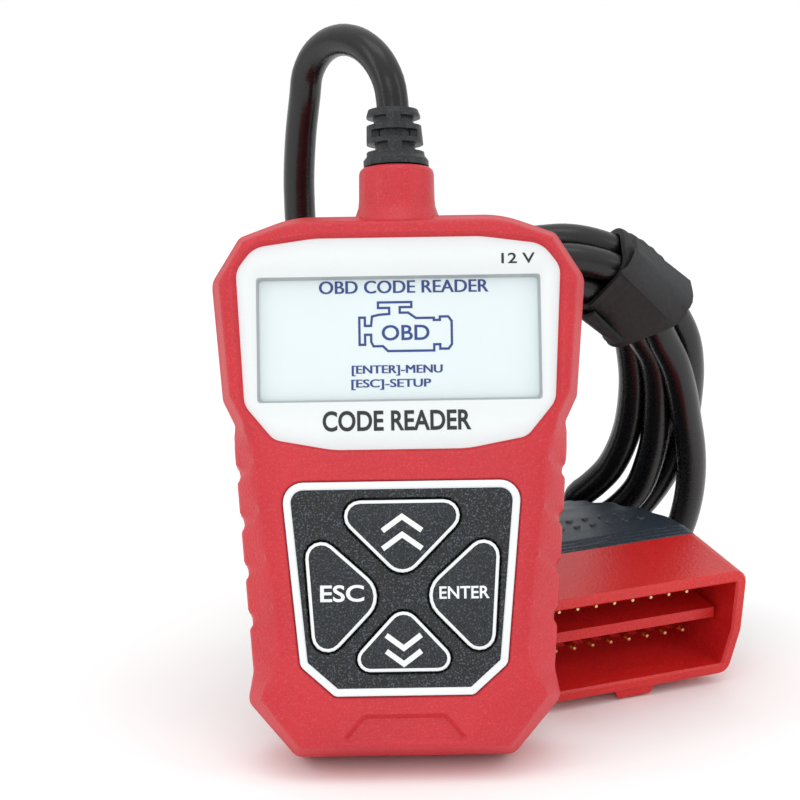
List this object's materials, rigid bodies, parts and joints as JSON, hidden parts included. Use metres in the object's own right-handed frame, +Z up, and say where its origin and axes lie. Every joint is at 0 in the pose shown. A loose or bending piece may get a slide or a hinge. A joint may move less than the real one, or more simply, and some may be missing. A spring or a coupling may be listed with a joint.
{
  "type": "obd code reader",
  "caption": "Handheld vehicle diagnostics reader with a small display and four keys, standing against its coiled cord, with a D-shaped pin plug on the free end.",
  "frame": {"origin": "centre of the bottom of the reader body as it stands, on the surface it rests on; the free cord, its coil, strap and plug are left out of that box", "axes": "+X to the right seen from the front, +Y away from the viewer (front to back), +Z up; the reader leans back 18 degrees towards +Y"},
  "size_m": [0.1003, 0.1196, 0.1305],
  "materials": {
    "red_housing": "fine-textured satin red",
    "white_faceplate": "smooth white",
    "grey_bezel": "satin grey",
    "black_keypad": "fine speckled black",
    "black_keys": "satin black, domed",
    "lcd": "pale display face, opaque",
    "white_moulding": "plain white moulding",
    "flex_film": "amber film",
    "circuit_board": "green solder mask",
    "component_metal": "plated",
    "black_component": "moulded black",
    "capacitor_sleeve": "printed sleeve",
    "screw_steel": "zinc plated",
    "label_film": "blank silver film",
    "relief_rubber": "matte blue-black",
    "cord_jacket": "satin black jacket",
    "strap_fabric": "hook and loop",
    "red_plug": "satin red",
    "pin_metal": "pale gold plated",
    "blue_black_shell": "dark slate, fine texture"
  },
  "bodies": {
    "reader": {"front_cover": "red_housing", "rear_cover": "red_housing", "faceplate": "white_faceplate", "display_bezel": "grey_bezel", "keypad_panel": "black_keypad", "lcd_glass": "lcd", "lcd_backlight": "white_moulding", "lcd_ribbon": "flex_film", "main_board": "circuit_board", "switch_up": "component_metal", "switch_down": "component_metal", "switch_esc": "component_metal", "switch_enter": "component_metal", "processor_chip": "black_component", "transceiver_chip": "black_component", "crystal": "component_metal", "regulator": "black_component", "capacitor": "capacitor_sleeve", "buzzer": "black_component", "cable_header": "white_moulding", "housing_screw_1": "screw_steel", "housing_screw_2": "screw_steel", "housing_screw_3": "screw_steel", "housing_screw_4": "screw_steel", "board_screw_1": "screw_steel", "board_screw_2": "screw_steel", "rear_label": "label_film", "strain_relief": "relief_rubber", "cable_inner": "cord_jacket", "cable_coil": "cord_jacket", "cable_strap": "strap_fabric", "cable_lead": "cord_jacket", "cable_tail": "cord_jacket", "plug_shroud": "red_plug", "pin_01": "pin_metal", "pin_02": "pin_metal", "pin_03": "pin_metal", "pin_04": "pin_metal", "pin_05": "pin_metal", "pin_06": "pin_metal", "pin_07": "pin_metal", "pin_08": "pin_metal", "pin_09": "pin_metal", "pin_10": "pin_metal", "pin_11": "pin_metal", "pin_12": "pin_metal", "pin_13": "pin_metal", "pin_14": "pin_metal", "pin_15": "pin_metal", "pin_16": "pin_metal", "plug_shell": "blue_black_shell", "plug_boot": "relief_rubber"},
    "button_up": {"button_up": "black_keys"},
    "button_down": {"button_down": "black_keys"},
    "button_esc": {"button_esc": "black_keys"},
    "button_enter": {"button_enter": "black_keys"}
  },
  "joints": [
    {"name": "up_press", "type": "slide", "parent": "reader", "child": "button_up", "axis": [0, 0.9511, -0.309], "range_m": [0, 0.0008], "stiffness_N_per_m": 2200},
    {"name": "down_press", "type": "slide", "parent": "reader", "child": "button_down", "axis": [0, 0.9511, -0.309], "range_m": [0, 0.0008], "stiffness_N_per_m": 2200},
    {"name": "esc_press", "type": "slide", "parent": "reader", "child": "button_esc", "axis": [0, 0.9511, -0.309], "range_m": [0, 0.0008], "stiffness_N_per_m": 2200},
    {"name": "enter_press", "type": "slide", "parent": "reader", "child": "button_enter", "axis": [0, 0.9511, -0.309], "range_m": [0, 0.0008], "stiffness_N_per_m": 2200}
  ]
}
